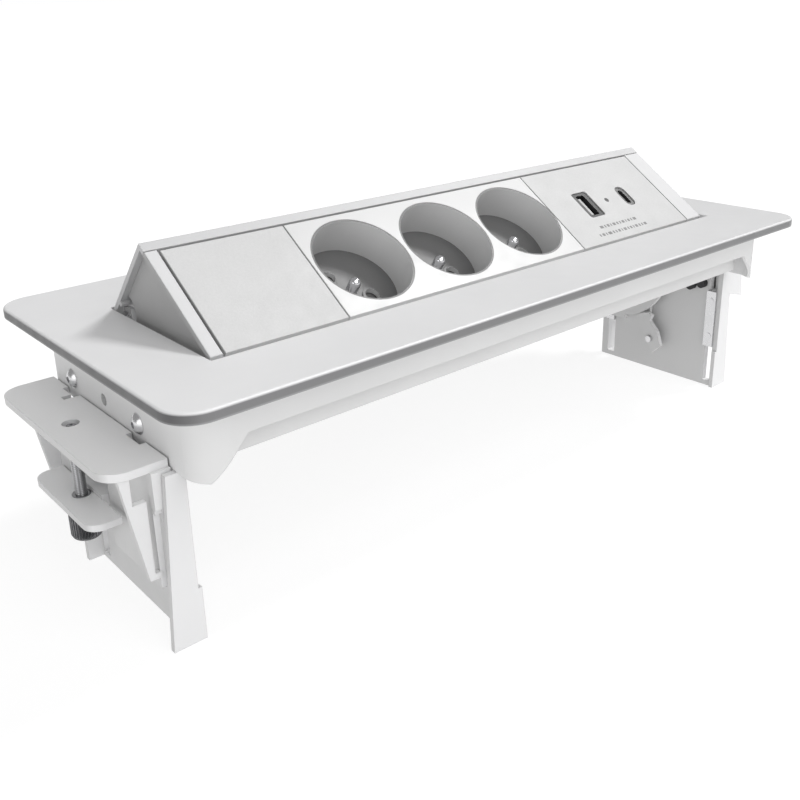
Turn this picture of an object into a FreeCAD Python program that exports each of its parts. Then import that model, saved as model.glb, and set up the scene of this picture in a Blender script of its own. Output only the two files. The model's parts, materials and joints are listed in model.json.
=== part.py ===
"""Flip-up power unit for a desk cut-out, in millimetres.

X runs along the unit, +Y to its back, +Z up. Shapes are drawn with z = 0 on the frame's top face and are
lifted by TOP_Z when they are saved, so that the clamp brackets' feet stand on Z = 0.
"""
import FreeCAD, Part
import math
import os

V = FreeCAD.Vector

# --- frame and housing ---
TOP_Z = 99.4
FRAME_LEN = 352.0
FRAME_WIDTH = 150.0
FRAME_RIM = 4.0
FRAME_SKIN = 2.0
RIM_WALL = 1.8
FRAME_CORNER = 12.0
EDGE_ROUND = 1.1
OPENING_X = 144.9
OPENING_FRONT = -40.6
OPENING_BACK = 35.7
HOUSING_X = 163.5
HOUSING_Y = 62.5
HOUSING_WALL = 1.5
LEG_Z = -32.6
SKIRT_Z = -17.8
NOTCH_TOP_X = 146.0
NOTCH_FOOT_X = 159.3
LINER_Y = -55.0
LINER_Z = -27.3
LINER_X = 150.0
FLANGE_IN = 56.5
FIX_SCREW_X = (-120.0, 0.0, 120.0)
FIX_SCREW_Y = 58.2
CLAMP_Y = 8.0
END_SCREW_PITCH = 55.0
END_SCREW_Z = -24.0

# --- turning module: (s, n) is up along the sloping face and out of it ---
SLOPE = 34.4
SLOPE_FRONT = -38.9
RIDGE_S = 54.25
MODULE_LEFT = -144.3
MODULE_RIGHT = 141.6
STRIP_LEFT = -139.1
STRIP_RIGHT = 130.0
BLANK_END = -86.3
SOCKET_END = 48.7
PANEL_TOP = 49.9
PANEL_T = 2.0
SEAM = 0.25
TOP_SEAM = 0.65
END_SEAM = 0.5
TRAY_DEPTH = 36.0
WALL = 1.8
LEDGE = 1.5
LID_T = 2.0
LID_LEN = 75.2
PIVOT_Y = 18.0
PIVOT_Z = -37.3
LID_RELIEF_R = 41.4
CAP_T = 2.0
CAP_RECESS = 2.6
DISC_R = 34.0
DISC_IN = 153.4
DISC_T = 2.5
PIN_R = 4.0
RUN_FIT = 0.05
PIN_FLANGE_R = 4.65
LID_ANGLE = math.degrees(math.atan2(30.64, 28.4))
CAP_PORT_S = (5.2, 30.0)
CAP_PORT_N = -31.8
CAP_PORT_LEN = 20.0
GLAND_X = -112.0
GLAND_S = 26.0
GLAND_R = 7.0
HUB_SCREW = (28.0, -0.5)
HUB_OPENING_R = 7.0
LATCH_Y = -5.5
LATCH_Z = -79.0
LATCH_GAP = 0.35
DETENT_R = 32.0

# --- sockets ---
SOCKET_X = (-63.1, -18.2, 26.7)
SOCKET_S = 24.8
MOUTH_R = 21.6
WELL_R = 20.8
WELL_DEPTH = 17.0
FLOOR_T = 1.5
EARTH_OFFSET = 10.0
LIVE_PITCH = 19.0
SOCKET_TURN = 225.0
EARTH_R = 2.4
EARTH_TIP = -2.6
LIVE_R = 3.0
EARTH_ROOT = -24.6
EARTH_BAR_S = (8.0, 12.0)
SLEEVE_TOP = -20.5
SLEEVE_FOOT = -31.0

# --- USB panel ---
USB_A = (74.8, 24.2)
USB_A_OUTER = (11.0, 16.6, 1.5)
USB_C = (103.4, 24.0)
USB_C_OUTER = (7.0, 13.2, 3.45)
LED = (89.0, 24.2)
LED_R = 1.3
USB_BOARD_N = -15.0

# --- brackets and clamps, as distances from the unit's middle ---
WEB_IN = 160.2
WEB_OUT = 163.6
FLANGE_OUT = 169.8
FLANGE_DRAFT = (167.5, 171.5)
BRACKET_FRONT = -44.3
BRACKET_BACK = 32.5
FLANGE_T = 2.4
BRACKET_TOP = -6.0
FLANGE_TOP = -33.0
SLOT_TOP = -34.6
SLOT_BOTTOM = -96.7
FRONT_SLOT = (-41.5, -37.2)
BACK_SLOT = (23.4, 28.4)
WINDOW_HALF = 7.0
WINDOW_Z = (-71.4, -50.9)
SHELF_TOP = -29.0
SHELF_T = 3.0
SHELF_OUT = 186.0
SHELF_FRONT = -40.3
SHELF_BACK = 55.5
SLIDER_FOOT = -76.5
LIP_FOOT = -45.5
LEDGE_Z = (-35.0, -33.5)
JAW_TOP = -57.3
JAW_T = 2.6
JAW_OUT = 184.6
JAW_FRONT = -17.5
JAW_BACK = 34.5
SCREW_X = 176.5
SCREW_R = 2.2
KNOB_TOP = -61.4
KNOB_H = 13.0
KNOB_R = 5.8
KNURLS = 26
GUIDE_SCREW_Y = (-38.9, 26.6)
GUIDE_SCREW_Z = (-50.0, -70.0)
KEEPER_HALF = 2.8
KEEPER_Z = (-76.0, -44.6)

TILT = FreeCAD.Placement(V(0, SLOPE_FRONT, 0), FreeCAD.Rotation(V(1, 0, 0), SLOPE))


def box(x0, x1, y0, y1, z0, z1):
    return Part.makeBox(x1 - x0, y1 - y0, z1 - z0, V(x0, y0, z0))


def rounded_box(x0, x1, y0, y1, z0, z1, r):
    """A box whose four upright edges are rounded."""
    body = box(x0, x1, y0, y1, z0, z1)
    upright = [e for e in body.Edges if abs(e.Vertexes[0].Z - e.Vertexes[-1].Z) > 1e-6]
    return body.makeFillet(r, upright)


def rod(r, start, end):
    """A cylinder between two points."""
    axis = V(*end) - V(*start)
    return Part.makeCylinder(r, axis.Length, V(*start), axis)


def plate_x(points, x0, x1):
    """A (y, z) outline extruded from x0 to x1."""
    ring = [V(x0, y, z) for y, z in points]
    face = Part.Face(Part.makePolygon(ring + ring[:1]))
    return face.extrude(V(x1 - x0, 0, 0))


def plate_y(points, y0, y1):
    """An (x, z) outline extruded from y0 to y1."""
    ring = [V(x, y0, z) for x, z in points]
    face = Part.Face(Part.makePolygon(ring + ring[:1]))
    return face.extrude(V(0, y1 - y0, 0))


def fused(shapes):
    body = shapes[0].multiFuse(shapes[1:]) if len(shapes) > 1 else shapes[0]
    return body.removeSplitter()


def tilted(shape):
    """Takes a shape drawn in (x, s, n) to the sloping face."""
    placed = shape.copy()
    placed.Placement = TILT.multiply(placed.Placement)
    return placed


def mirrored(shape):
    return shape.mirror(V(0, 0, 0), V(1, 0, 0))


def round_edges(shape, r, wanted):
    """Rounds the edges for which wanted(edge) is true."""
    return shape.makeFillet(r, [e for e in shape.Edges if wanted(e)])


def save(name, shapes):
    """Writes one node: a solid, or a group of separate solids."""
    group = shapes if isinstance(shapes, list) else [shapes]
    solids = [solid.translated(V(0, 0, TOP_Z)) for shape in group for solid in shape.Solids]
    whole = solids[0] if len(solids) == 1 else Part.makeCompound(solids)
    if not whole.isValid():
        print("not valid:", name)
    whole.exportStep("parts/" + name + ".step")


def end_screw_places():
    return [CLAMP_Y - END_SCREW_PITCH / 2, CLAMP_Y + END_SCREW_PITCH / 2]


# --- fixed body ---


def top_frame():
    half_x = FRAME_LEN / 2
    half_y = FRAME_WIDTH / 2
    body = rounded_box(-half_x, half_x, -half_y, half_y, -FRAME_RIM, 0, FRAME_CORNER)
    body = round_edges(body, EDGE_ROUND, lambda e: all(abs(v.Z) < 1e-6 for v in e.Vertexes))
    inner_r = FRAME_CORNER - RIM_WALL
    hollow = rounded_box(-half_x + RIM_WALL, half_x - RIM_WALL, -half_y + RIM_WALL, half_y - RIM_WALL,
                         -FRAME_RIM - 1, -FRAME_SKIN, inner_r)
    body = body.cut(hollow)
    body = body.cut(box(-OPENING_X, OPENING_X, OPENING_FRONT, OPENING_BACK, -FRAME_RIM, 1))

    def opening_edge(edge):
        points = [v.Point for v in edge.Vertexes]
        on_top = all(abs(p.z) < 1e-6 and abs(p.x) < OPENING_X + 0.1 for p in points)
        return on_top and all(OPENING_FRONT - 0.1 < p.y < OPENING_BACK + 0.1 for p in points) \
            and not all(abs(p.y - OPENING_BACK) < 0.1 for p in points)

    body = round_edges(body, 0.7, opening_edge)
    sweep = rod(LID_RELIEF_R, (-OPENING_X, PIVOT_Y, PIVOT_Z), (OPENING_X, PIVOT_Y, PIVOT_Z))
    body = body.cut(sweep)
    for x in FIX_SCREW_X:
        for y in (-FIX_SCREW_Y, FIX_SCREW_Y):
            body = body.cut(rod(1.3, (x, y, -FRAME_SKIN - 1), (x, y, -0.9)))
    return body


def housing():
    outer = rounded_box(-HOUSING_X, HOUSING_X, -HOUSING_Y, HOUSING_Y, LEG_Z, -FRAME_SKIN, 12.0)
    inner_x = HOUSING_X - HOUSING_WALL
    inner_y = HOUSING_Y - HOUSING_WALL
    shell = outer.cut(rounded_box(-inner_x, inner_x, -inner_y, inner_y, LEG_Z - 1, 0, 10.5))
    notch = [(-NOTCH_FOOT_X, LEG_Z - 1), (-NOTCH_FOOT_X, LEG_Z), (-NOTCH_TOP_X, SKIRT_Z),
             (NOTCH_TOP_X, SKIRT_Z), (NOTCH_FOOT_X, LEG_Z), (NOTCH_FOOT_X, LEG_Z - 1)]
    shell = shell.cut(plate_y(notch, -HOUSING_Y - 1, HOUSING_Y + 1))
    rail_z = -FRAME_SKIN - 1.6
    rails = [box(-142, 142, -inner_y - 0.2, -FLANGE_IN, rail_z, -FRAME_SKIN),
             box(-142, 142, FLANGE_IN, inner_y + 0.2, rail_z, -FRAME_SKIN)]
    shell = fused([shell] + rails)
    for x in FIX_SCREW_X:
        for y in (-FIX_SCREW_Y, FIX_SCREW_Y):
            shell = shell.cut(rod(1.5, (x, y, rail_z - 1), (x, y, 0)))
    for side in (-1, 1):
        for y in end_screw_places():
            shell = shell.cut(rod(2.05, (side * 150, y, END_SCREW_Z), (side * 170, y, END_SCREW_Z)))
        shell = shell.cut(rod(2.3, (side * 150, CLAMP_Y, END_SCREW_Z), (side * 170, CLAMP_Y, END_SCREW_Z)))
    return shell


def inner_liner():
    """Guard wall behind the front skirt, with a turned-in foot and two end returns."""
    wall = box(-LINER_X, LINER_X, LINER_Y, LINER_Y + HOUSING_WALL, LINER_Z, -FRAME_SKIN)
    returns = [box(side * LINER_X - 0.75, side * LINER_X + 0.75, LINER_Y, LINER_Y + 9, LINER_Z, -FRAME_SKIN)
               for side in (-1, 1)]
    return fused([wall] + returns)


def housing_screws():
    """Four button-head screws through the housing ends into the brackets."""
    screws = []
    for side in (-1, 1):
        for y in end_screw_places():
            dome = Part.makeSphere(5.0, V(side * (HOUSING_X - 2.8), y, END_SCREW_Z))
            keep = rod(3.9, (side * HOUSING_X, y, END_SCREW_Z), (side * (HOUSING_X + 4), y, END_SCREW_Z))
            head = dome.common(keep)
            socket = rod(1.2, (side * (HOUSING_X + 1.0), y, END_SCREW_Z), (side * 170, y, END_SCREW_Z))
            shank = rod(2.0, (side * 157.6, y, END_SCREW_Z), (side * (HOUSING_X + 0.2), y, END_SCREW_Z))
            screws.append(fused([head.cut(socket), shank]))
    return screws


def frame_screws():
    screws = []
    under = -FRAME_SKIN - 1.6
    for x in FIX_SCREW_X:
        for y in (-FIX_SCREW_Y, FIX_SCREW_Y):
            head = rod(2.6, (x, y, under - 1.8), (x, y, under))
            cross = rod(1.0, (x, y, under - 2.0), (x, y, under - 1.0))
            shank = rod(1.25, (x, y, under - 0.2), (x, y, -1.2))
            screws.append(fused([head.cut(cross), shank]))
    return screws


def bracket():
    """Right clamp bracket: a slotted web with two outward flanges."""
    web = box(WEB_IN, WEB_OUT, BRACKET_FRONT, BRACKET_BACK, -TOP_Z, FLANGE_TOP)
    head = box(WEB_IN, HOUSING_X - HOUSING_WALL, BRACKET_FRONT, 44.0, FLANGE_TOP, BRACKET_TOP)
    outline = [(WEB_IN, FLANGE_TOP), (FLANGE_DRAFT[0], FLANGE_TOP), (FLANGE_DRAFT[1], -TOP_Z),
               (WEB_IN, -TOP_Z)]
    front = plate_y(outline, BRACKET_FRONT, BRACKET_FRONT + FLANGE_T)
    back = box(WEB_IN, FLANGE_OUT, BRACKET_BACK - FLANGE_T, BRACKET_BACK, -TOP_Z, FLANGE_TOP)
    foot = box(WEB_IN - 1.4, WEB_IN + 0.1, BRACKET_FRONT, BRACKET_FRONT + 2.1, -TOP_Z, -78.5)
    body = fused([web, head, front, back, foot])
    for y0, y1 in (FRONT_SLOT, BACK_SLOT):
        body = body.cut(box(WEB_IN - 2, WEB_OUT + 1, y0, y1, SLOT_BOTTOM, SLOT_TOP))
    body = body.cut(box(WEB_IN - 2, WEB_OUT + 1, CLAMP_Y - WINDOW_HALF, CLAMP_Y + WINDOW_HALF, *WINDOW_Z))
    body = body.cut(rod(PIN_R, (WEB_IN - 1, PIVOT_Y, PIVOT_Z), (WEB_OUT + 1, PIVOT_Y, PIVOT_Z)))
    body = body.cut(rod(PIN_FLANGE_R, (WEB_OUT - 1.5, PIVOT_Y, PIVOT_Z), (WEB_OUT + 1, PIVOT_Y, PIVOT_Z)))
    for y in end_screw_places():
        body = body.cut(rod(2.0, (WEB_IN - 1, y, END_SCREW_Z), (WEB_OUT + 1, y, END_SCREW_Z)))
    body = body.cut(rod(2.3, (WEB_IN - 1, CLAMP_Y, END_SCREW_Z), (WEB_OUT + 1, CLAMP_Y, END_SCREW_Z)))
    return body


def bracket_ear():
    """Lug beside the right bracket's front flange."""
    outline = [(165.0, FLANGE_TOP), (178.0, FLANGE_TOP), (180.5, -50.0), (168.0, -46.5), (165.0, -46.5)]
    return plate_y(outline, BRACKET_FRONT, BRACKET_FRONT + FLANGE_T)


def pivot_pin():
    """Right axle pin, with its flange let into the bracket's web."""
    shank = rod(PIN_R, (149.6, PIVOT_Y, PIVOT_Z), (WEB_OUT - 1.5, PIVOT_Y, PIVOT_Z))
    flange = rod(PIN_FLANGE_R - 0.05, (WEB_OUT - 1.5, PIVOT_Y, PIVOT_Z), (WEB_OUT - 0.1, PIVOT_Y, PIVOT_Z))
    return fused([shank, flange])


def pivot_washer():
    """Spacer ring on the axle, between the web and the turning disc."""
    ring = rod(PIN_FLANGE_R + 0.1, (DISC_IN + DISC_T + 0.3, PIVOT_Y, PIVOT_Z), (WEB_IN, PIVOT_Y, PIVOT_Z))
    return ring.cut(rod(PIN_R, (150, PIVOT_Y, PIVOT_Z), (WEB_OUT, PIVOT_Y, PIVOT_Z)))


def bump_stops():
    """Rubber buffers on the inner faces of both webs."""
    pads = []
    for side in (-1, 1):
        for y, z in ((-26.4, -43.3), (-33.0, -41.0)):
            pads.append(rod(2.4, (side * 156.8, y, z), (side * WEB_IN, y, z)))
    return pads


def latch_pin():
    shank = rod(1.8, (DISC_IN - 1.6, LATCH_Y, LATCH_Z), (WEB_IN, LATCH_Y, LATCH_Z))
    collar = rod(2.9, (DISC_IN + DISC_T + 0.3, LATCH_Y, LATCH_Z), (WEB_IN, LATCH_Y, LATCH_Z))
    return fused([shank, collar])


# --- turning module ---


def lid_dir():
    """Direction of the lid from the ridge, in (s, n)."""
    turn = math.radians(LID_ANGLE + SLOPE)
    return math.cos(turn), -math.sin(turn)


def lid_point(t, inset):
    """A point t along the lid from the ridge and inset inside its outer face, in (s, n)."""
    c, d = lid_dir()
    return RIDGE_S + t * c + inset * d, t * d - inset * c


def module_profile():
    """Extruded shell: lid, ridge rail, panel ledges and tray."""
    lid = [lid_point(0, 0), lid_point(LID_LEN, 0), lid_point(LID_LEN, LID_T), lid_point(0.3, LID_T)]
    lid_back = lid_point(TRAY_DEPTH, LID_T / 2)[0]
    rail = [(PANEL_TOP + SEAM, 0), lid_point(0, 0), lid_point(5.0, LID_T / 2), (47.4, -PANEL_T - LEDGE),
            (47.4, -PANEL_T), (PANEL_TOP + SEAM, -PANEL_T)]
    front = [(0.6, -PANEL_T), (3.0, -PANEL_T), (3.0, -PANEL_T - LEDGE), (0.6 + WALL, -PANEL_T - LEDGE),
             (0.6 + WALL, -TRAY_DEPTH), (0.6, -TRAY_DEPTH)]
    back = [(0.6, -TRAY_DEPTH), (lid_back, -TRAY_DEPTH), (lid_back, WALL - TRAY_DEPTH),
            (0.6, WALL - TRAY_DEPTH)]
    x0 = MODULE_LEFT
    x1 = MODULE_RIGHT
    shell = fused([plate_x(outline, x0, x1) for outline in (lid, rail, front, back)])
    ports = []
    for s in CAP_PORT_S:
        ports.append(rod(2.8, (x0 + 5.3, s, CAP_PORT_N), (x0 + CAP_PORT_LEN, s, CAP_PORT_N)))
        ports.append(rod(2.8, (x1 - CAP_PORT_LEN, s, CAP_PORT_N), (x1 - 5.3, s, CAP_PORT_N)))
    shell = fused([shell] + ports)
    for s in CAP_PORT_S:
        shell = shell.cut(rod(1.3, (x0, s, CAP_PORT_N), (x0 + CAP_PORT_LEN, s, CAP_PORT_N)))
        shell = shell.cut(rod(1.3, (x1 - CAP_PORT_LEN, s, CAP_PORT_N), (x1, s, CAP_PORT_N)))
    shell = shell.cut(rod(GLAND_R, (GLAND_X, GLAND_S, -TRAY_DEPTH - 5), (GLAND_X, GLAND_S, -TRAY_DEPTH + 5)))
    length = CAP_RECESS + CAP_T + 0.1
    for x in (x0, x1 - length):
        cut_rail = box(x, x + length, 0, PANEL_TOP + SEAM, -PANEL_T - LEDGE - 1, 0.1)
        cut_tray = box(x, x + length, -1, 56.0, -TRAY_DEPTH - 1, -PANEL_T + 0.1)
        shell = shell.cut(cut_rail).cut(cut_tray.cut(plate_x(lid, x0 - 1, x1 + 1)))
    return tilted(shell)


def cap_outline():
    """Outline of an end cap below the panels, in (s, n)."""
    top = lid_point(2.6, LID_T + 0.05)
    foot = lid_point(LID_LEN - 1.0, LID_T + 0.05)
    return [(0.6, -PANEL_T), (0.6, -32.0), (9.0, -62.0), (26.0, -80.0), foot, top, (50.0, -PANEL_T)]


def end_cap(side):
    """Recessed end plate with the narrow front strip that borders the panels."""
    if side < 0:
        face = MODULE_LEFT + CAP_RECESS
        strip = (MODULE_LEFT, STRIP_LEFT - SEAM)
        plate = (face, face + CAP_T)
    else:
        face = MODULE_RIGHT - CAP_RECESS
        strip = (STRIP_RIGHT + SEAM, MODULE_RIGHT)
        plate = (face - CAP_T, face)
    body = plate_x(cap_outline(), *plate)
    strip_bar = box(strip[0], strip[1], 0.2, PANEL_TOP, -PANEL_T, 0)
    strip_bar = round_edges(strip_bar, 0.4, lambda e: all(abs(v.Z) < 1e-6 for v in e.Vertexes))
    body = tilted(fused([body, strip_bar]))
    y, z = HUB_SCREW
    opening = rod(HUB_OPENING_R, (plate[0] - 1, y, z), (plate[1] + 1, y, z))
    body = body.cut(opening.cut(hub_web(plate)))
    for s in CAP_PORT_S:
        hole = rod(1.7, (plate[0] - 1, s, CAP_PORT_N), (plate[1] + 1, s, CAP_PORT_N))
        body = body.cut(tilted(hole))
    return body


def hub_web(plate):
    """The bar that crosses the round opening of an end cap and carries its hub screw."""
    y, z = HUB_SCREW
    return box(plate[0] - 2, plate[1] + 2, y - 3.0, y + 3.0, z - 12, z + 1.5)


def hub_screws():
    screws = []
    for face, inward in ((MODULE_LEFT + CAP_RECESS, 1), (MODULE_RIGHT - CAP_RECESS, -1)):
        y, z = HUB_SCREW
        head = rod(2.9, (face - inward * 1.6, y, z - 2.5), (face, y, z - 2.5))
        slot = box(face - 3, face + 3, y - 2.4, y + 2.4, z - 2.9, z - 2.1)
        near, far = sorted((face - inward * 1.7, face - inward * 0.8))
        shallow = box(near, far, y - 4, y + 4, z - 8, z + 8)
        screws.append(head.cut(slot.common(shallow)))
    return screws


def cap_screws():
    """Pan-head screws that hold the end caps to the profile's screw ports."""
    screws = []
    for face, inward in ((MODULE_LEFT + CAP_RECESS, 1), (MODULE_RIGHT - CAP_RECESS, -1)):
        for s in CAP_PORT_S:
            head = rod(2.6, (face - inward * 1.5, s, CAP_PORT_N), (face, s, CAP_PORT_N))
            shank = rod(1.25, (face - inward * 0.2, s, CAP_PORT_N), (face + inward * 11, s, CAP_PORT_N))
            screws.append(tilted(fused([head, shank])))
    return screws


def end_disc(side):
    """Round side plate with a hub that turns on the axle pin; its rim is lower where the latch rides."""
    disc = rod(DISC_R, (DISC_IN, PIVOT_Y, PIVOT_Z), (DISC_IN + DISC_T, PIVOT_Y, PIVOT_Z))
    hub = rod(8.0, (150.0, PIVOT_Y, PIVOT_Z), (DISC_IN + 0.5, PIVOT_Y, PIVOT_Z))
    body = fused([disc, hub])
    body = body.cut(rod(PIN_R + RUN_FIT, (140, PIVOT_Y, PIVOT_Z), (170, PIVOT_Y, PIVOT_Z)))
    for angle in (20.0, 140.0, 260.0):
        y = PIVOT_Y + 20.5 * math.cos(math.radians(angle))
        z = PIVOT_Z + 20.5 * math.sin(math.radians(angle))
        body = body.cut(rod(5.5, (150, y, z), (160, y, z)))
    if side > 0:
        rim = [(PIVOT_Y, PIVOT_Z)]
        for angle in range(164, 261, 16):
            turn = math.radians(angle)
            rim.append((PIVOT_Y + 40 * math.cos(turn), PIVOT_Z + 40 * math.sin(turn)))
        sector = plate_x(rim, DISC_IN - 1, DISC_IN + DISC_T + 1)
        inner = rod(DETENT_R, (DISC_IN - 2, PIVOT_Y, PIVOT_Z), (DISC_IN + DISC_T + 2, PIVOT_Y, PIVOT_Z))
        body = body.cut(sector.cut(inner))
        return body
    return mirrored(body)


def disc_spacers():
    """Six posts that join the end caps to the round side plates."""
    posts = []
    for face, side in ((MODULE_LEFT + CAP_RECESS, -1), (MODULE_RIGHT - CAP_RECESS, 1)):
        for angle in (80.0, 200.0, 320.0):
            y = PIVOT_Y + 11.5 * math.cos(math.radians(angle))
            z = PIVOT_Z + 11.5 * math.sin(math.radians(angle))
            posts.append(rod(2.4, (face, y, z), (side * DISC_IN, y, z)))
    return posts


def latch_lever():
    """Catch lever whose nose rides in the low part of the right disc's rim."""
    reach = math.hypot(PIVOT_Y - LATCH_Y, PIVOT_Z - LATCH_Z)
    u = ((PIVOT_Y - LATCH_Y) / reach, (PIVOT_Z - LATCH_Z) / reach)
    w = (-u[1], u[0])
    nose = reach - DETENT_R - LATCH_GAP

    def at(along, across):
        return LATCH_Y + u[0] * along + w[0] * across, LATCH_Z + u[1] * along + w[1] * across

    arm = [at(-6, 5), at(2, 6.5), at(nose - 6, 4.5), at(nose - 3.5, 7.5), at(nose - 1.0, 5.0), at(nose, 1.2),
           at(nose - 0.6, -3.0), at(nose - 5, -3.4), at(2, -4), at(-8, -2.5)]
    body = fused([plate_x(arm, DISC_IN, DISC_IN + DISC_T),
                  rod(4.6, (DISC_IN, LATCH_Y, LATCH_Z), (DISC_IN + DISC_T, LATCH_Y, LATCH_Z))])
    return body.cut(rod(1.8 + RUN_FIT, (150, LATCH_Y, LATCH_Z), (160, LATCH_Y, LATCH_Z)))


def panel(x0, x1):
    """A flat panel in the sloping face, with slightly eased edges."""
    plate = box(x0 + SEAM, x1 - SEAM, 0.2, PANEL_TOP - TOP_SEAM, -PANEL_T, 0)
    return round_edges(plate, 0.3, lambda e: all(abs(v.Z) < 1e-6 for v in e.Vertexes))


def blank_panel():
    return tilted(panel(STRIP_LEFT + END_SEAM, BLANK_END))


def socket_fascia():
    plate = panel(BLANK_END, SOCKET_END)
    for x in SOCKET_X:
        plate = plate.cut(rod(MOUTH_R + 0.05, (x, SOCKET_S, -5), (x, SOCKET_S, 5)))
    return tilted(plate)


def usb_panel():
    plate = panel(SOCKET_END, STRIP_RIGHT)
    plate = plate.cut(usb_block(USB_A, *USB_A_OUTER, -5, 5))
    plate = plate.cut(usb_block(USB_C, *USB_C_OUTER, -5, 5))
    plate = plate.cut(rod(LED_R + RUN_FIT, (LED[0], LED[1], -5), (LED[0], LED[1], 5)))
    return tilted(plate)


def usb_block(centre, wide, tall, r, n0, n1):
    x, s = centre
    return rounded_box(x - wide / 2, x + wide / 2, s - tall / 2, s + tall / 2, n0, n1, r)


def socket_point(x, along, across):
    """A point in a socket: along its earth direction and across it."""
    turn = math.radians(SOCKET_TURN)
    return (x + along * math.cos(turn) - across * math.sin(turn),
            SOCKET_S + along * math.sin(turn) + across * math.cos(turn))


def live_points(x):
    return [socket_point(x, 0, side * LIVE_PITCH / 2) for side in (-1, 1)]


def socket_well(x):
    """Round cup with a floor, two ringed holes and an earth pin seat."""
    cup = rod(MOUTH_R, (x, SOCKET_S, -WELL_DEPTH - FLOOR_T), (x, SOCKET_S, -0.15))
    cup = cup.cut(rod(WELL_R, (x, SOCKET_S, -WELL_DEPTH), (x, SOCKET_S, 1)))
    rings = [rod(LIVE_R + 1.0, (px, ps, -WELL_DEPTH - 0.5), (px, ps, -WELL_DEPTH + 0.7))
             for px, ps in live_points(x)]
    cup = fused([cup] + rings)
    for px, ps in live_points(x):
        cup = cup.cut(rod(LIVE_R, (px, ps, -30), (px, ps, 5)))
    ex, es = socket_point(x, EARTH_OFFSET, 0)
    cup = cup.cut(rod(EARTH_R, (ex, es, -30), (ex, es, -WELL_DEPTH + 1)))
    return tilted(cup)


def earth_pin(x):
    """Plated pin with a domed tip, and the tab that meets the earth bar."""
    ex, es = socket_point(x, EARTH_OFFSET, 0)
    dome_n = EARTH_TIP - EARTH_R
    stem = rod(EARTH_R, (ex, es, EARTH_ROOT), (ex, es, dome_n))
    tip = Part.makeSphere(EARTH_R, V(ex, es, dome_n))
    tab = box(ex - 2, ex + 2, EARTH_BAR_S[0], es, EARTH_ROOT, EARTH_ROOT + 1.0)
    return tilted(fused([stem, tip, tab]))


def contact_set(x):
    """The two contact sleeves of a socket."""
    return [tilted(rod(3.4, (px, ps, SLEEVE_FOOT), (px, ps, SLEEVE_TOP))
                   .cut(rod(2.4, (px, ps, SLEEVE_FOOT - 1), (px, ps, SLEEVE_TOP + 1))))
            for px, ps in live_points(x)]


def shutter(x):
    """Safety shutter under a well floor; it slides away from the earth pin to open both holes."""
    turn = FreeCAD.Placement(V(x, SOCKET_S, 0), FreeCAD.Rotation(V(0, 0, 1), SOCKET_TURN))
    plate = box(-3.5, 3.5, -13.2, 13.2, -20.1, -19.1)
    plate.Placement = turn
    return tilted(plate)


def busbars():
    bars = []
    x0 = SOCKET_X[0] - 14
    x1 = SOCKET_X[2] + 14
    for across in (-1, 1):
        s = socket_point(0, 0, across * LIVE_PITCH / 2)[1]
        bars.append(tilted(box(x0, x1, s - 1.6, s + 1.6, SLEEVE_FOOT - 1, SLEEVE_FOOT)))
    bars.append(tilted(box(x0, x1, EARTH_BAR_S[0], EARTH_BAR_S[1], EARTH_ROOT - 1, EARTH_ROOT)))
    return bars


def usb_shell(centre, outer, inner, front, foot):
    """Port insert: a block that fills its cut-out, with the port's own opening in it."""
    body = usb_block(centre, outer[0] - 0.1, outer[1] - 0.1, outer[2] - 0.05, foot, front)
    return tilted(body.cut(usb_block(centre, inner[0], inner[1], inner[2], foot + 1.5, 5)))


def usb_tongue(centre, thick, wide, front, foot):
    x, s = centre
    return tilted(box(x - thick / 2, x + thick / 2, s - wide / 2, s + wide / 2, foot, front))


def usb_board():
    return tilted(box(60.0, 122.0, 6.0, 44.0, USB_BOARD_N - 1.6, USB_BOARD_N))


def status_lens():
    x, s = LED
    return tilted(rod(LED_R, (x, s, USB_BOARD_N), (x, s, -0.1)))


def terminal_block():
    """Three-way block on the tray floor, with its wire and screw holes."""
    top = -TRAY_DEPTH + WALL + 12
    body = box(-98.0, -66.0 - 24.0, 8.0, 44.0, -TRAY_DEPTH + WALL, top)
    for s in (14.0, 26.0, 38.0):
        body = body.cut(rod(2.2, (-99, s, -TRAY_DEPTH + WALL + 5), (-88, s, -TRAY_DEPTH + WALL + 5)))
        body = body.cut(rod(1.6, (-94, s, -TRAY_DEPTH + WALL + 8), (-94, s, top + 1)))
    return tilted(body)


def cable_gland():
    """Screwed gland in the tray floor: the unit's supply inlet."""
    floor = -TRAY_DEPTH
    collar = rod(10.0, (GLAND_X, GLAND_S, floor - 4), (GLAND_X, GLAND_S, floor))
    thread = rod(GLAND_R - 0.05, (GLAND_X, GLAND_S, floor - 0.5), (GLAND_X, GLAND_S, floor + WALL + 5))
    nut = rod(9.5, (GLAND_X, GLAND_S, floor + WALL), (GLAND_X, GLAND_S, floor + WALL + 3))
    dome = Part.makeCone(9.0, 6.5, 9.0, V(GLAND_X, GLAND_S, floor - 4), V(0, 0, -1))
    body = fused([collar, thread, nut, dome])
    return tilted(body.cut(rod(4.0, (GLAND_X, GLAND_S, floor - 20), (GLAND_X, GLAND_S, floor + 20))))


# --- clamps, drawn for the right end ---


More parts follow.
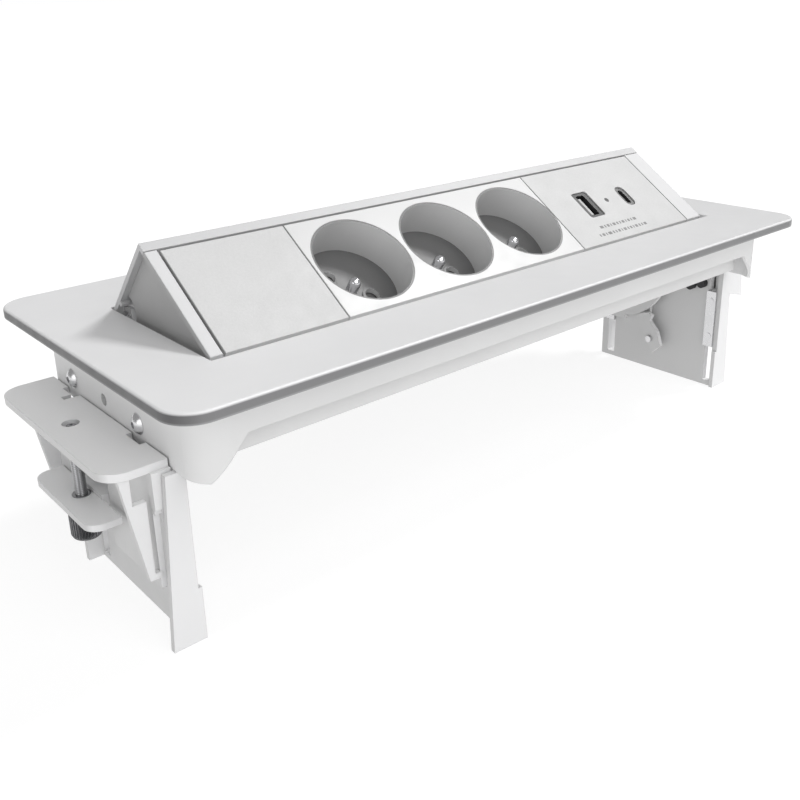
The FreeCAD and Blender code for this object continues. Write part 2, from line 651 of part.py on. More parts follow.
def slider():
    """Shelf with gussets on a back wall that slides in the bracket; its tabs run in the slots."""
    shelf = rounded_box(WEB_OUT + 0.4 - 12, SHELF_OUT, SHELF_FRONT, SHELF_BACK, SHELF_TOP - SHELF_T,
                        SHELF_TOP, 9.0)
    shelf = shelf.cut(box(100, WEB_OUT + 0.4, -100, 100, -60, 0))
    under = SHELF_TOP - SHELF_T
    wall = box(168.2, 170.6, -40.3, 29.6, SLIDER_FOOT, under + 0.1)
    wall = wall.cut(box(160, 180, CLAMP_Y - 10.6, CLAMP_Y + 10.6, SLIDER_FOOT - 1, -44.8))
    wall = wall.cut(box(160, 180, -60, -38.6, SLIDER_FOOT - 1, -47.6))
    lip = box(WEB_OUT + 0.3, 170.9, -41.6, -38.0, LIP_FOOT, under + 0.1)
    ledge = box(WEB_OUT + 0.4, 168.4, -25.2, -13.8, *LEDGE_Z)
    ledge_back = box(WEB_OUT + 0.4, 170.4, 33.2, 40.8, *LEDGE_Z)
    wing = box(170.2, 172.4, 25.0, 39.2, SLIDER_FOOT, under + 0.1)
    gusset = [(177.2, under + 0.1), (181.2, under + 0.1), (174.4, -72.0), (170.0, -72.0), (170.0, -69.8),
              (172.4, -69.8), (172.4, -42.3), (177.2, -42.3)]
    gussets = [plate_y(gusset, -39.0, -36.7), plate_y(gusset, 36.9, 39.2)]
    tabs = []
    for y0, y1 in (FRONT_SLOT, BACK_SLOT):
        tabs.append(box(WEB_IN + 0.1, 168.4, y0 + 0.3, y1 - 0.3, SLIDER_FOOT, -44.2))
    rib = box(168.4, SHELF_OUT - 12, CLAMP_Y + 13.0, CLAMP_Y + 15.0, -38.0, under + 0.1)
    rib_front = box(168.4, SHELF_OUT - 12, CLAMP_Y - 15.0, CLAMP_Y - 13.0, -38.0, under + 0.1)
    body = fused([shelf, wall, wing, rib, rib_front] + gussets + tabs)
    body = body.cut(box(WEB_OUT, 170.15, 29.7, 32.9, -60, 0))
    for y in end_screw_places():
        body = body.cut(box(WEB_OUT, 166.2, y - 5.3, y + 5.3, -60, 0))
    body = fused([body, lip, ledge, ledge_back])
    return body.cut(rod(3.1, (SCREW_X, CLAMP_Y, -60), (SCREW_X, CLAMP_Y, 0)))


def guide_screws():
    """Keeper strips on the slider's tabs, wider than the slots that they run in, with their screws."""
    keepers = []
    for y in GUIDE_SCREW_Y:
        strip = box(WEB_IN - 1.2, WEB_IN - 0.3, y - KEEPER_HALF, y + KEEPER_HALF, *KEEPER_Z)
        heads = [rod(1.7, (WEB_IN - 1.5, y, z), (WEB_IN - 1.1, y, z)) for z in GUIDE_SCREW_Z]
        shanks = [rod(1.2, (WEB_IN - 0.4, y, z), (WEB_IN + 0.1, y, z)) for z in GUIDE_SCREW_Z]
        keepers.append(fused([strip] + heads + shanks))
    return keepers


def jaw():
    """Lower plate that carries the clamp screw; its tongue hooks through the bracket's window."""
    plate = rounded_box(172.7 - 8, JAW_OUT, JAW_FRONT, JAW_BACK, JAW_TOP - JAW_T, JAW_TOP, 6.0)
    plate = plate.cut(box(150, 172.7, -100, 100, -100, 0))
    tongue = box(WEB_IN - 0.4, 168.0, CLAMP_Y - 6.6, CLAMP_Y + 6.6, JAW_TOP - 4.6, JAW_TOP + 1.8)
    neck = box(167.9, 173.0, CLAMP_Y - 9.6, CLAMP_Y + 9.6, JAW_TOP - JAW_T, JAW_TOP + 1.8)
    head = box(WEB_IN - 2.6, WEB_IN - 0.3, CLAMP_Y - 9.8, CLAMP_Y + 9.6, JAW_TOP - 15.2, JAW_TOP + 6.8)
    body = fused([plate, tongue, neck, head])
    return body.cut(rod(3.4, (SCREW_X, CLAMP_Y, -80), (SCREW_X, CLAMP_Y, 0)))


def jaw_nut():
    """Threaded insert in the jaw."""
    sleeve = rod(3.4, (SCREW_X, CLAMP_Y, JAW_TOP - JAW_T - 0.3), (SCREW_X, CLAMP_Y, JAW_TOP + 0.3))
    return sleeve.cut(rod(SCREW_R + RUN_FIT, (SCREW_X, CLAMP_Y, -80), (SCREW_X, CLAMP_Y, 0)))


def clamp_screw():
    stem = rod(SCREW_R, (SCREW_X, CLAMP_Y, KNOB_TOP - KNOB_H + 1), (SCREW_X, CLAMP_Y, -31.8))
    tip = Part.makeSphere(SCREW_R, V(SCREW_X, CLAMP_Y, -31.8))
    collar = rod(4.3, (SCREW_X, CLAMP_Y, -34.6), (SCREW_X, CLAMP_Y, SHELF_TOP - SHELF_T - 0.3))
    return fused([stem, tip, collar])


def clamp_knob():
    """Knurled knob."""
    body = rod(KNOB_R, (SCREW_X, CLAMP_Y, KNOB_TOP - KNOB_H), (SCREW_X, CLAMP_Y, KNOB_TOP))
    body = body.makeChamfer(0.8, [e for e in body.Edges if e.Curve.TypeId == "Part::GeomCircle"])
    groove = Part.makeBox(0.8, 0.8, KNOB_H + 2, V(-0.4, -0.4, KNOB_TOP - KNOB_H - 1))
    groove.rotate(V(0, 0, 0), V(0, 0, 1), 45)
    grooves = []
    for i in range(KNURLS):
        angle = 2 * math.pi * i / KNURLS
        one = groove.copy()
        one.rotate(V(0, 0, 0), V(0, 0, 1), math.degrees(angle))
        reach = KNOB_R + 0.05
        one.translate(V(SCREW_X + reach * math.cos(angle), CLAMP_Y + reach * math.sin(angle), 0))
        grooves.append(one)
    body = body.cut(Part.makeCompound(grooves))
    return body.cut(rod(SCREW_R, (SCREW_X, CLAMP_Y, KNOB_TOP - KNOB_H + 1), (SCREW_X, CLAMP_Y, 0)))


def save_fixed():
    save("top_frame", top_frame())
    save("housing", housing())
    save("inner_liner", inner_liner())
    save("housing_screws", housing_screws())
    save("frame_screws", frame_screws())
    save("bump_stops", bump_stops())
    save("latch_pin", latch_pin())
    save("pivot_pins", [pivot_pin(), mirrored(pivot_pin())])
    save("pivot_washers", [pivot_washer(), mirrored(pivot_washer())])


def save_module():
    save("module_profile", module_profile())
    save("end_cap_left", end_cap(-1))
    save("end_cap_right", end_cap(1))
    save("end_disc_left", end_disc(-1))
    save("end_disc_right", end_disc(1))
    save("disc_spacers", disc_spacers())
    save("hub_screws", hub_screws())
    save("cap_screws", cap_screws())
    save("blank_panel", blank_panel())
    save("socket_fascia", socket_fascia())
    save("usb_panel", usb_panel())
    for number, x in enumerate(SOCKET_X, 1):
        save("socket_well_%d" % number, socket_well(x))
        save("earth_pin_%d" % number, earth_pin(x))
        save("contact_set_%d" % number, contact_set(x))
        save("shutter_%d" % number, shutter(x))
    save("busbars", busbars())
    save("usb_a_shell", usb_shell(USB_A, USB_A_OUTER, (5.4, 13.2, 0.6), -0.6, USB_BOARD_N))
    save("usb_a_tongue", usb_tongue((USB_A[0] - 0.6, USB_A[1]), 1.8, 11.0, -1.6, USB_BOARD_N + 1.5))
    save("usb_c_shell", usb_shell(USB_C, USB_C_OUTER, (3.0, 9.0, 1.45), -0.6, USB_BOARD_N))
    save("usb_c_tongue", usb_tongue(USB_C, 0.7, 6.7, -1.8, USB_BOARD_N + 1.5))
    save("usb_board", usb_board())
    save("status_lens", status_lens())
    save("terminal_block", terminal_block())
    save("cable_gland", cable_gland())
    save("latch_lever", latch_lever())


def save_clamps():
    save("bracket_right", fused([bracket(), bracket_ear()]))
    save("bracket_left", mirrored(bracket()))
    pieces = {"slider": [slider()], "guide_screws": guide_screws(), "jaw": [jaw()],
              "jaw_nut": [jaw_nut()], "clamp_screw": [clamp_screw()], "clamp_knob": [clamp_knob()]}
    for name, shapes in pieces.items():
        save(name + "_right", shapes)
        save(name + "_left", [mirrored(shape) for shape in shapes])


os.makedirs("parts", exist_ok=True)
save_fixed()
save_module()
save_clamps()
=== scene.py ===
"""Looks of the flip-up power unit: materials, detailed pieces, light and camera."""
import json
import math

import bmesh
import bpy
from mathutils import Matrix, Vector


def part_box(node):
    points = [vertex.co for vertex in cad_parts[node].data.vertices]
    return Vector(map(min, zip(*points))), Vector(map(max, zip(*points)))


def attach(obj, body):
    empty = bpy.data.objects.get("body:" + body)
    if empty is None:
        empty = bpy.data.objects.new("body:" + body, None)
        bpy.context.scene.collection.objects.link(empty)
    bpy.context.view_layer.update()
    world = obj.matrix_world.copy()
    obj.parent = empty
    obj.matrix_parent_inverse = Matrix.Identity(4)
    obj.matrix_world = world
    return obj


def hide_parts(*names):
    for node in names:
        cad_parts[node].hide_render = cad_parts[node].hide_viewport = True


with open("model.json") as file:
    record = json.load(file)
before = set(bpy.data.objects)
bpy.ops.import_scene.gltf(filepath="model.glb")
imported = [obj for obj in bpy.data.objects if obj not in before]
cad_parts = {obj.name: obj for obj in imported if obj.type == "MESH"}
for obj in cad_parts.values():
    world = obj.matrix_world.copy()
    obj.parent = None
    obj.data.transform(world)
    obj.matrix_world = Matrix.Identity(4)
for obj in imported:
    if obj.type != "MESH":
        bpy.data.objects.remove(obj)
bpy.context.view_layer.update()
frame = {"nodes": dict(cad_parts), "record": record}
NODES = frame["nodes"]
MM = 0.001
SLOPE = math.radians(34.4)
FACE_ORIGIN = (0.0, -38.9 * MM, 99.4 * MM)
RIM_REACH = 14.0 * MM
FLOOR_REACH = 250.0
FLOOR_DROP = 0.2 * MM
SMOOTH_BELOW = math.radians(32.0)
KNURLS = 32
POINTS_PER_KNURL = 8
KNURL_DEPTH = 0.62
KNURL_SHARPNESS = 0.8


# --- materials ---


def link(tree, source, target):
    tree.links.new(source, target)


def noise(tree, place, size_mm, detail=2.0, roughness=0.5):
    """Noise whose blobs are about size_mm across."""
    made = tree.nodes.new("ShaderNodeTexNoise")
    made.inputs["Scale"].default_value = 1.0 / (size_mm * MM)
    made.inputs["Detail"].default_value = detail
    made.inputs["Roughness"].default_value = roughness
    link(tree, place, made.inputs["Vector"])
    return made.outputs["Fac"]


def spread(tree, value, low, high, from_low=0.3, from_high=0.7):
    """Maps a value to low..high."""
    made = tree.nodes.new("ShaderNodeMapRange")
    made.inputs["From Min"].default_value = from_low
    made.inputs["From Max"].default_value = from_high
    made.inputs["To Min"].default_value = low
    made.inputs["To Max"].default_value = high
    link(tree, value, made.inputs["Value"])
    return made.outputs["Result"]


def maths(tree, operation, a, b=None):
    made = tree.nodes.new("ShaderNodeMath")
    made.operation = operation
    for slot, value in ((0, a), (1, b)):
        if value is None:
            continue
        if isinstance(value, (int, float)):
            made.inputs[slot].default_value = value
        else:
            link(tree, value, made.inputs[slot])
    return made.outputs["Value"]


def mixed(tree, factor, a, b):
    """Mix of two colours, each a tuple or a socket."""
    made = tree.nodes.new("ShaderNodeMix")
    made.data_type = "RGBA"
    sockets = {s.identifier: s for s in made.inputs}
    for key, value in (("A_Color", a), ("B_Color", b)):
        if isinstance(value, tuple):
            sockets[key].default_value = (*value, 1.0)
        else:
            link(tree, value, sockets[key])
    link(tree, factor, sockets["Factor_Float"])
    return [s for s in made.outputs if s.identifier == "Result_Color"][0]


def edge_mask(tree, radius_mm):
    """1 on edges and 0 on open faces."""
    bevel = tree.nodes.new("ShaderNodeBevel")
    bevel.samples = 4
    bevel.inputs["Radius"].default_value = radius_mm * MM
    geometry = tree.nodes.new("ShaderNodeNewGeometry")
    dot = tree.nodes.new("ShaderNodeVectorMath")
    dot.operation = "DOT_PRODUCT"
    link(tree, bevel.outputs["Normal"], dot.inputs[0])
    link(tree, geometry.outputs["Normal"], dot.inputs[1])
    return spread(tree, dot.outputs["Value"], 1.0, 0.0, 0.80, 0.99)


def shade(color, factor):
    return tuple(min(1.0, c * factor) for c in color)


def finish(name, color, rough, grain_mm=0.5, depth_mm=0.02, mottle=0.03, metallic=0.0, edge_wear_and_highlight=0.0,
           edge_wear_and_highlight_color=None, coat=0.0, specular=0.5, stretch=None, rough_range=0.06, flecks=0.0, edge_mm=0.0):
    """A surface with grain, mottling, uneven gloss and lighter or darker edges: the default lighter edge is
    a painted highlight, while a given edge colour stands for rubbed wear.
    """
    material = bpy.data.materials.new(name)
    material.use_nodes = True
    tree = material.node_tree
    bsdf = tree.nodes["Principled BSDF"]
    bsdf.inputs["Metallic"].default_value = metallic
    bsdf.inputs["Specular IOR Level"].default_value = specular
    bsdf.inputs["Coat Weight"].default_value = coat
    bsdf.inputs["Coat Roughness"].default_value = 0.15
    place = tree.nodes.new("ShaderNodeTexCoord").outputs["Object"]
    grain_place = place
    if stretch:
        mapping = tree.nodes.new("ShaderNodeMapping")
        mapping.inputs["Scale"].default_value = stretch
        link(tree, place, mapping.inputs["Vector"])
        grain_place = mapping.outputs["Vector"]
    broad = noise(tree, place, 38.0, 3.0)
    tint = mixed(tree, spread(tree, broad, 0.0, 1.0), shade(color, 1 - mottle), shade(color, 1 + mottle))
    if flecks:
        speck = spread(tree, noise(tree, grain_place, grain_mm * 1.6, 3.0, 0.7), 0.0, flecks, 0.35, 0.65)
        tint = mixed(tree, speck, tint, shade(color, 0.6))
    # Lighter edges: a painted highlight along the edges of pale parts, grey rubbed wear where an edge colour
    # is given.
    if edge_wear_and_highlight:
        ragged = spread(tree, noise(tree, place, 2.5, 4.0), 0.35, 1.0)
        amount = maths(tree, "MULTIPLY", edge_mask(tree, 0.5), maths(tree, "MULTIPLY", ragged, edge_wear_and_highlight))
        tint = mixed(tree, amount, tint, edge_wear_and_highlight_color or shade(color, 1.12))
    link(tree, tint, bsdf.inputs["Base Color"])
    gloss = noise(tree, place, 7.0, 4.0)
    link(tree, spread(tree, gloss, rough - rough_range, rough + rough_range), bsdf.inputs["Roughness"])
    bump = tree.nodes.new("ShaderNodeBump")
    bump.inputs["Strength"].default_value = 1.0
    if edge_mm:
        rounded = tree.nodes.new("ShaderNodeBevel")
        rounded.samples = 4
        rounded.inputs["Radius"].default_value = edge_mm * MM
        link(tree, rounded.outputs["Normal"], bump.inputs["Normal"])
    bump.inputs["Distance"].default_value = depth_mm * MM
    link(tree, noise(tree, grain_place, grain_mm, 3.0, 0.6), bump.inputs["Height"])
    link(tree, bump.outputs["Normal"], bsdf.inputs["Normal"])
    return material


def repaint(material, amount, color):
    """Mixes a colour into a material's base colour by an amount."""
    tree = material.node_tree
    target = tree.nodes["Principled BSDF"].inputs["Base Color"]
    link(tree, mixed(tree, amount, target.links[0].from_socket, color), target)


def axes_of(tree, vector):
    split = tree.nodes.new("ShaderNodeSeparateXYZ")
    link(tree, vector, split.inputs["Vector"])
    return split.outputs


def painted_rim_shade(material, box):
    """Paints shade on the upright outer band of the frame's rim, below its rounded top edge: darker on the
    end faces, a little lighter at the lip.
    """
    tree = material.node_tree
    low, high = box
    place = axes_of(tree, tree.nodes.new("ShaderNodeTexCoord").outputs["Object"])
    facing = axes_of(tree, tree.nodes.new("ShaderNodeNewGeometry").outputs["Normal"])
    outward = maths(tree, "ADD", maths(tree, "MULTIPLY", place["X"], facing["X"]),
                    maths(tree, "MULTIPLY", place["Y"], facing["Y"]))
    far_x = maths(tree, "GREATER_THAN", maths(tree, "ABSOLUTE", place["X"]), high[0] - RIM_REACH)
    far_y = maths(tree, "GREATER_THAN", maths(tree, "ABSOLUTE", place["Y"]), high[1] - RIM_REACH)
    outer = maths(tree, "MULTIPLY", maths(tree, "MAXIMUM", far_x, far_y),
                  maths(tree, "GREATER_THAN", outward, 0.02))
    below = spread(tree, place["Z"], 1.0, 0.0, high[2] - 1.0 * MM, high[2] - 0.35 * MM)
    lip = spread(tree, place["Z"], 0.75, 1.0, low[2] + 0.1 * MM, low[2] + 0.8 * MM)
    endwise = spread(tree, maths(tree, "ABSOLUTE", facing["X"]), 0.0, 1.0, 0.3, 0.9)
    # Painted shade colour for the rim band, darker where the band faces along the row.
    shadow = mixed(tree, endwise, (0.19, 0.19, 0.194), (0.09, 0.09, 0.093))
    repaint(material, maths(tree, "MULTIPLY", maths(tree, "MULTIPLY", outer, below), lip), shadow)
    return material


def painted_well_shade(material):
    """Well moulding with painted shade and light: a darker floor, and side walls that lighten to one side.
    """
    tree = material.node_tree
    facing = axes_of(tree, tree.nodes.new("ShaderNodeNewGeometry").outputs["Normal"])
    place = axes_of(tree, tree.nodes.new("ShaderNodeTexCoord").outputs["Object"])
    # Painted light on the walls that face one way.
    repaint(material, spread(tree, facing["X"], 1.0, 0.0, -0.9, 0.1), (0.72, 0.72, 0.72))
    # Painted shade on the well floor, which faces out of the sloping face.
    tilt = maths(tree, "SUBTRACT", maths(tree, "MULTIPLY", facing["Z"], math.cos(SLOPE)),
                 maths(tree, "MULTIPLY", facing["Y"], math.sin(SLOPE)))
    repaint(material, spread(tree, tilt, 0.0, 1.0, 0.6, 0.9), (0.150, 0.150, 0.150))
    return material


def painted_end_shade(material):
    """End plates: painted shade in flat grey on their upright faces, their own paint elsewhere."""
    tree = material.node_tree
    facing = axes_of(tree, tree.nodes.new("ShaderNodeNewGeometry").outputs["Normal"])
    upright = spread(tree, maths(tree, "ABSOLUTE", facing["X"]), 0.0, 1.0, 0.6, 0.9)
    # Painted shade on the upright end faces.
    repaint(material, upright, (0.38, 0.38, 0.38))
    return material


def painted_web_shade_and_light(material):
    """Clamp moulding: painted shade on the broad side faces of its walls, painted light on what faces up."""
    tree = material.node_tree
    facing = axes_of(tree, tree.nodes.new("ShaderNodeNewGeometry").outputs["Normal"])
    sideways = spread(tree, maths(tree, "ABSOLUTE", facing["X"]), 0.0, 1.0, 0.7, 0.95)
    # Painted shade on the side faces.
    repaint(material, sideways, (0.58, 0.58, 0.58))
    # Painted light on the faces that face up.
    repaint(material, spread(tree, facing["Z"], 0.0, 1.0, 0.7, 0.95), (0.90, 0.90, 0.90))
    return material


MATERIALS = {
    "frame_paint": painted_rim_shade(finish("frame_paint", (0.71, 0.71, 0.715), 0.42, 0.55, 0.012, 0.015, edge_wear_and_highlight=0.5),
                            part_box("top_frame")),
    "module_paint": finish("module_paint", (0.51, 0.51, 0.515), 0.42, 0.45, 0.012, 0.015, edge_wear_and_highlight=0.5,
                           edge_mm=0.3),
    "cap_plastic": painted_end_shade(finish("cap_plastic", (0.58, 0.58, 0.585), 0.45, 0.45, 0.015, 0.015, edge_wear_and_highlight=0.5,
                                     edge_mm=0.3)),
    "panel_paint": finish("panel_paint", (0.54, 0.54, 0.54), 0.50, 0.55, 0.035, 0.02, flecks=0.14),
    "housing_plastic": finish("housing_plastic", (0.73, 0.73, 0.73), 0.55, 0.35, 0.020, 0.02, edge_wear_and_highlight=0.3,
                              edge_mm=0.4),
    "clamp_plastic": painted_web_shade_and_light(finish("clamp_plastic", (0.78, 0.78, 0.785), 0.48, 0.40, 0.018, 0.02,
                                        edge_wear_and_highlight=0.4, edge_mm=0.4)),
    "fascia_plastic": finish("fascia_plastic", (0.57, 0.57, 0.57), 0.36, 0.30, 0.008, 0.015),
    "well_plastic": painted_well_shade(finish("well_plastic", (0.54, 0.54, 0.54), 0.45, 0.30, 0.015, 0.03)),
    "plated_pin": finish("plated_pin", (0.82, 0.82, 0.84), 0.10, 0.20, 0.0005, 0.01, 1.0, rough_range=0.03),
    "brass_contact": finish("brass_contact", (0.72, 0.52, 0.25), 0.30, 0.3, 0.003, 0.04, 1.0),
    "zinc_screw": finish("zinc_screw", (0.72, 0.72, 0.73), 0.26, 0.25, 0.004, 0.04, 1.0,
                         stretch=(1.0, 1.0, 6.0)),
    "screw_steel": finish("screw_steel", (0.38, 0.38, 0.39), 0.20, 0.25, 0.004, 0.05, 1.0),
    "knob_black": finish("knob_black", (0.05, 0.05, 0.055), 0.36, 0.30, 0.006, 0.05, 0.7, edge_wear_and_highlight=0.9,
                         edge_wear_and_highlight_color=(0.50, 0.50, 0.51)),
    "port_black": finish("port_black", (0.018, 0.018, 0.019), 0.45, 0.30, 0.008, 0.05),
    "port_grey": finish("port_grey", (0.10, 0.10, 0.10), 0.35, 0.30, 0.004, 0.05, 0.6),
    "tongue_white": finish("tongue_white", (0.42, 0.42, 0.42), 0.45, 0.30, 0.006, 0.02),
    "board_green": finish("board_green", (0.03, 0.16, 0.07), 0.30, 0.40, 0.006, 0.05),
    "rubber_black": finish("rubber_black", (0.028, 0.028, 0.03), 0.70, 0.30, 0.015, 0.06),
    "print_grey": finish("print_grey", (0.22, 0.22, 0.22), 0.60, 0.30, 0.003, 0.05),
}

LOOK_OF_NODE = {"module_profile": "module_paint", "blank_panel": "panel_paint", "usb_panel": "panel_paint",
                "end_cap_left": "cap_plastic", "end_cap_right": "cap_plastic",
                "usb_c_shell": "port_grey", "usb_c_tongue": "port_grey", "shutter_1": "well_plastic",
                "shutter_2": "well_plastic", "shutter_3": "well_plastic"}


def dress(obj, material):
    """Gives an object one material in place of what it has."""
    obj.data.materials.clear()
    obj.data.materials.append(material)


for part in frame["record"]["subparts"]:
    name = part["node"]
    look = LOOK_OF_NODE.get(name, part["material_slot"])
    shown = NODES[name]
    for place in shown.material_slots:
        place.material = MATERIALS[look]


# --- detailed pieces ---


def piece(name, bm, look, body, replaced=(), smooth=True):
    """Makes an object of a bmesh drawn in the row frame and hangs it on its body."""
    mesh = bpy.data.meshes.new(name)
    bmesh.ops.recalc_face_normals(bm, faces=bm.faces)
    bm.to_mesh(mesh)
    bm.free()
    made = bpy.data.objects.new(name, mesh)
    bpy.context.scene.collection.objects.link(made)
    dress(made, MATERIALS[look])
    if smooth:
        mesh.shade_smooth()
        mesh.set_sharp_from_angle(angle=SMOOTH_BELOW)
    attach(made, body)
    if replaced:
        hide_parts(*replaced)
    return made


def middle_of(name):
    low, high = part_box(name)
    return [(a + b) / 2 for a, b in zip(low, high)]


def lathe(bm, profile, centre, around=64):
    """Turns an (r, z) profile in millimetres about an upright axis; z is absolute."""
    rings = []
    for r, z in profile:
        if r < 1e-6:
            rings.append([bm.verts.new((centre[0], centre[1], z * MM))])
            continue
        rings.append([bm.verts.new((centre[0] + r * MM * math.cos(2 * math.pi * k / around),
                                    centre[1] + r * MM * math.sin(2 * math.pi * k / around), z * MM))
                      for k in range(around)])
    for a, b in zip(rings, rings[1:]):
        for k in range(around):
            n = (k + 1) % around
            if len(a) == 1:
                bm.faces.new((a[0], b[k], b[n]))
            elif len(b) == 1:
                bm.faces.new((a[k], b[0], a[n]))
            else:
                bm.faces.new((a[k], b[k], b[n], a[n]))


def skin(bm, rings):
    """Joins rings of equally many points with four-sided faces."""
    around = len(rings[0])
    for a, b in zip(rings, rings[1:]):
        for k in range(around):
            n = (k + 1) % around
            bm.faces.new((a[k], b[k], b[n], a[n]))


def thread(bm, centre, z0, z1, core, crest, pitch, around=40):
    """A single-start screw thread as a closed sleeve of helical rings."""
    turns = (z1 - z0) / pitch
    steps = int(turns * 8)
    rings = []
    for i in range(steps + 1):
        ring = []
        for k in range(around):
            angle = 2 * math.pi * k / around
            z = z0 + (z1 - z0) * i / steps
            phase = (z / pitch - k / around) % 1.0
            height = 1.0 - abs(2.0 * phase - 1.0)
            ease = min(1.0, (z - z0) / pitch, (z1 - z) / pitch)
            r = core + (crest - core) * min(1.0, height * 1.25) * max(0.0, ease)
            ring.append(bm.verts.new((centre[0] + r * MM * math.cos(angle),
                                      centre[1] + r * MM * math.sin(angle), z * MM)))
        rings.append(ring)
    skin(bm, rings)


def build_clamp_screw(side):
    """Threaded spindle with a thrust collar and a dog point that is dished at its end."""
    node_name = "clamp_screw_" + side
    low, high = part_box(node_name)
    centre = middle_of(node_name)
    foot, top = low[2] / MM, high[2] / MM
    core = 2.04
    crest = 2.18
    pitch = 0.7
    thread_foot = foot + 11.5
    thread_top = top - 6.2
    socket = 0.62
    bm = bmesh.new()
    lathe(bm, [(0, foot), (core, foot), (core, thread_foot)], centre)
    thread(bm, centre, thread_foot, thread_top, core, crest, pitch)
    lathe(bm, [(core, thread_top), (2.1, top - 5.9), (2.1, top - 5.2), (3.9, top - 5.2),
               (4.28, top - 4.85), (4.28, top - 3.2), (3.9, top - 2.75), (2.0, top - 2.75),
               (2.0, top - 0.9), (1.75, top - 0.35), (1.2, top - 0.05), (socket, top)], centre)
    lathe(bm, [(socket, top), (0.5, top - 0.5), (0.0, top - 0.8)], centre)
    return piece("spindle_" + side, bm, "screw_steel", "screw_" + side, (node_name,))


def drawn_in(bm, ring, centre, share, z):
    """A copy of a ring, nearer its axis by a share, at another height in millimetres."""
    return [bm.verts.new((centre[0] + (v.co.x - centre[0]) * share,
                          centre[1] + (v.co.y - centre[1]) * share, z * MM)) for v in ring]


def build_knob(side):
    """Blackened knob with straight knurling between two plain bands."""
    node_name = "clamp_knob_" + side
    low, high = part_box(node_name)
    centre = middle_of(node_name)
    foot, top = low[2] / MM, high[2] / MM
    outer = (high[0] - low[0]) / MM / 2
    around = KNURLS * POINTS_PER_KNURL
    half = [(0.0, 1.6, 0.0), (0.25, 0.95, 0.0), (0.7, 0.5, 0.0), (1.1, 0.45, 0.5), (1.5, 0.02, 1.0)]
    levels = [(foot + rise, outer - inset, cut) for rise, inset, cut in half]
    levels += [(top - rise, outer - inset, cut) for rise, inset, cut in reversed(half)]
    bm = bmesh.new()
    rings = []
    for z, r, cut in levels:
        ring = []
        for k in range(around):
            angle = 2 * math.pi * k / around
            wave = abs(2.0 * ((k / POINTS_PER_KNURL) % 1.0) - 1.0)
            radius = r - cut * KNURL_DEPTH * wave ** KNURL_SHARPNESS
            ring.append(bm.verts.new((centre[0] + radius * MM * math.cos(angle),
                                      centre[1] + radius * MM * math.sin(angle), z * MM)))
        rings.append(ring)
    skin(bm, rings)
    for ring, z, inward in ((rings[0], foot, 0.8), (rings[-1], top, -0.5)):
        inner = drawn_in(bm, ring, centre, 0.72, z)
        sunk = drawn_in(bm, ring, centre, 0.66, z + inward)
        hub = bm.verts.new((centre[0], centre[1], (z + inward) * MM))
        for k in range(around):
            n = (k + 1) % around
            bm.faces.new((ring[k], ring[n], inner[n], inner[k]))
            bm.faces.new((inner[k], inner[n], sunk[n], sunk[k]))
            bm.faces.new((sunk[k], sunk[n], hub))
    return piece("knurled_knob_" + side, bm, "knob_black", "screw_" + side, (node_name,))


TILT = Matrix.Translation(FACE_ORIGIN) @ Matrix.Rotation(SLOPE, 4, "X")


def tilted_block(bm, x0, x1, s0, s1, n0, n1, ease=0.0):
    """A block given along the sloping face, in millimetres, with eased upper edges."""
    made = bmesh.ops.create_cube(bm, size=1.0)["verts"]
    for v in made:
        v.co.x = (x0 + x1) / 2 * MM + v.co.x * (x1 - x0) * MM
        v.co.y = (s0 + s1) / 2 * MM + v.co.y * (s1 - s0) * MM
        v.co.z = (n0 + n1) / 2 * MM + v.co.z * (n1 - n0) * MM
    if ease:
        edges = {e for v in made for e in v.link_edges}
        made = bmesh.ops.bevel(bm, geom=list(edges), offset=ease * MM, segments=2, affect="EDGES")["verts"]
    bmesh.ops.transform(bm, matrix=TILT, verts=list(set(made)))


def build_print():
    """Two rows of short plain bars printed below the USB ports; they spell nothing."""
    bm = bmesh.new()
    half_height = 0.8
    rows = ((9.4, 69.0, (3.0, 1.6, 2.2, 1.4, 2.6, 1.8, 1.6, 2.4, 1.4, 2.0, 1.6, 2.8)),
            (5.0, 64.5, (1.6, 2.4, 1.4, 3.0, 1.8, 1.6, 2.2, 1.4, 2.6, 1.6, 2.0, 1.4, 2.4, 1.8, 1.6, 2.6)))
    for s, x, widths in rows:
        for width in widths:
            tilted_block(bm, x, x + width - 0.7, s - half_height, s + half_height, -0.01, 0.02)
            x += width + 0.35
    return piece("usb_marking_bars", bm, "print_grey", "module", smooth=False)


def build_port_contacts():
    """Spring contacts in the larger USB port."""
    low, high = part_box("usb_a_tongue")
    x = low[0] / MM
    bm = bmesh.new()
    port_middle = 24.2
    pitch = 2.5
    for k in range(4):
        s = port_middle + (k - 1.5) * pitch
        tilted_block(bm, x - 0.28, x - 0.02, s - 0.55, s + 0.55, -9.0, -2.1, 0.08)
    return piece("usb_a_contacts", bm, "brass_contact", "module", smooth=False)


for side in ("left", "right"):
    build_clamp_screw(side)
    build_knob(side)
build_print()
build_port_contacts()


# --- floor, light and camera ---


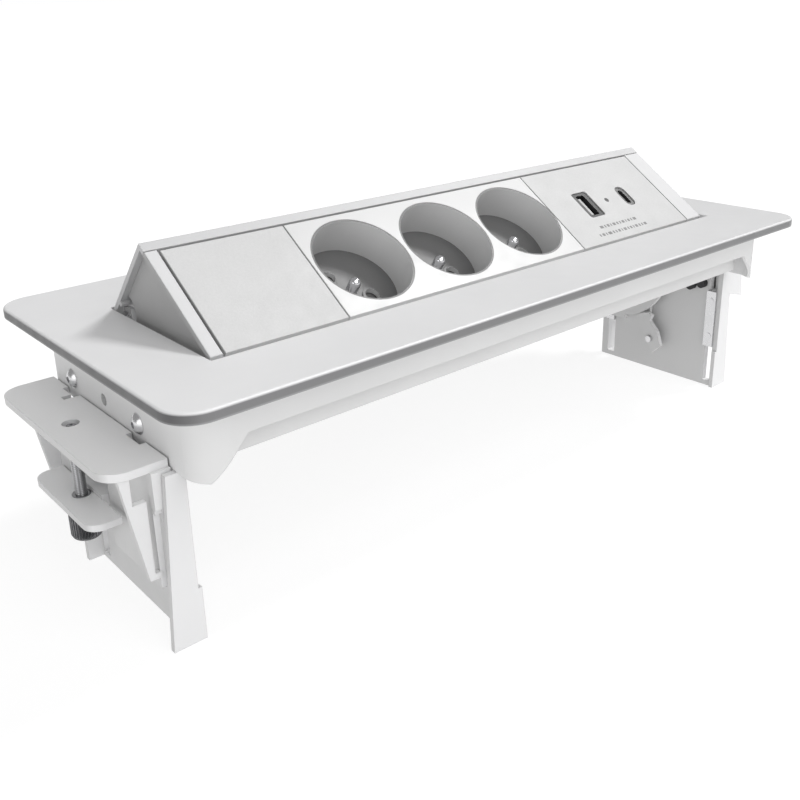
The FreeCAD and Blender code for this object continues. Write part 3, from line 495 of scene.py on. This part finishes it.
def build_floor():
    """A wide flat paper floor just below the brackets' feet."""
    mesh = bpy.data.meshes.new("floor")
    corners = [(x * FLOOR_REACH, y * FLOOR_REACH, -FLOOR_DROP)
               for x, y in ((-1, -1), (1, -1), (1, 1), (-1, 1))]
    mesh.from_pydata(corners, [], [(0, 1, 2, 3)])
    floor = bpy.data.objects.new("floor", mesh)
    bpy.context.scene.collection.objects.link(floor)
    paper = finish("floor_paper", (0.24, 0.24, 0.24), 0.9, 2.0, 0.01, 0.003, specular=0.0)
    glow = paper.node_tree.nodes["Principled BSDF"].inputs
    glow["Emission Color"].default_value = (1.0, 1.0, 1.0, 1.0)
    glow["Emission Strength"].default_value = 0.83
    dress(floor, paper)


def sun(name, towards, strength, spread_degrees):
    """A distant soft light that stands in the direction given."""
    data = bpy.data.lights.new(name, "SUN")
    data.energy = strength
    data.angle = math.radians(spread_degrees)
    lamp = bpy.data.objects.new(name, data)
    bpy.context.scene.collection.objects.link(lamp)
    lamp.rotation_euler = Vector(towards).to_track_quat("Z", "Y").to_euler()


def build_light():
    world = bpy.data.worlds.new("studio")
    bpy.context.scene.world = world
    world.use_nodes = True
    tree = world.node_tree
    dim = tree.nodes["Background"]
    dim.inputs["Color"].default_value = (1.0, 1.0, 1.0, 1.0)
    dim.inputs["Strength"].default_value = 0.33
    backdrop = tree.nodes.new("ShaderNodeBackground")
    backdrop.inputs["Color"].default_value = (1.0, 1.0, 1.0, 1.0)
    choice = tree.nodes.new("ShaderNodeMixShader")
    link(tree, tree.nodes.new("ShaderNodeLightPath").outputs["Is Camera Ray"], choice.inputs["Fac"])
    link(tree, dim.outputs["Background"], choice.inputs[1])
    link(tree, backdrop.outputs["Background"], choice.inputs[2])
    link(tree, choice.outputs["Shader"], tree.nodes["World Output"].inputs["Surface"])
    sun("key", (0.60, -0.16, 0.78), 1.80, 14.0)
    sun("fill", (0.0, -0.72, 0.69), 1.35, 60.0)
    sun("side", (-0.95, -0.20, 0.16), 0.52, 40.0)


def build_camera():
    data = bpy.data.cameras.new("camera")
    data.sensor_width = 36.0
    data.lens = 42.101
    data.shift_y = -0.0929
    data.clip_start = 0.01
    data.clip_end = 300.0
    camera = bpy.data.objects.new("camera", data)
    bpy.context.scene.collection.objects.link(camera)
    right = Vector((0.75775043, -0.65211156, -0.02376548))
    up = Vector((0.23460144, 0.23825952, 0.94244075))
    back = Vector((-0.60891416, -0.71971030, 0.33352756))
    turn = Matrix((right, up, back)).transposed().to_4x4()
    camera.matrix_world = Matrix.Translation((-0.28158, -0.29774, 0.21035)) @ turn
    bpy.context.scene.camera = camera
    bpy.context.scene.view_settings.view_transform = "Standard"


build_floor()
build_light()
build_camera()
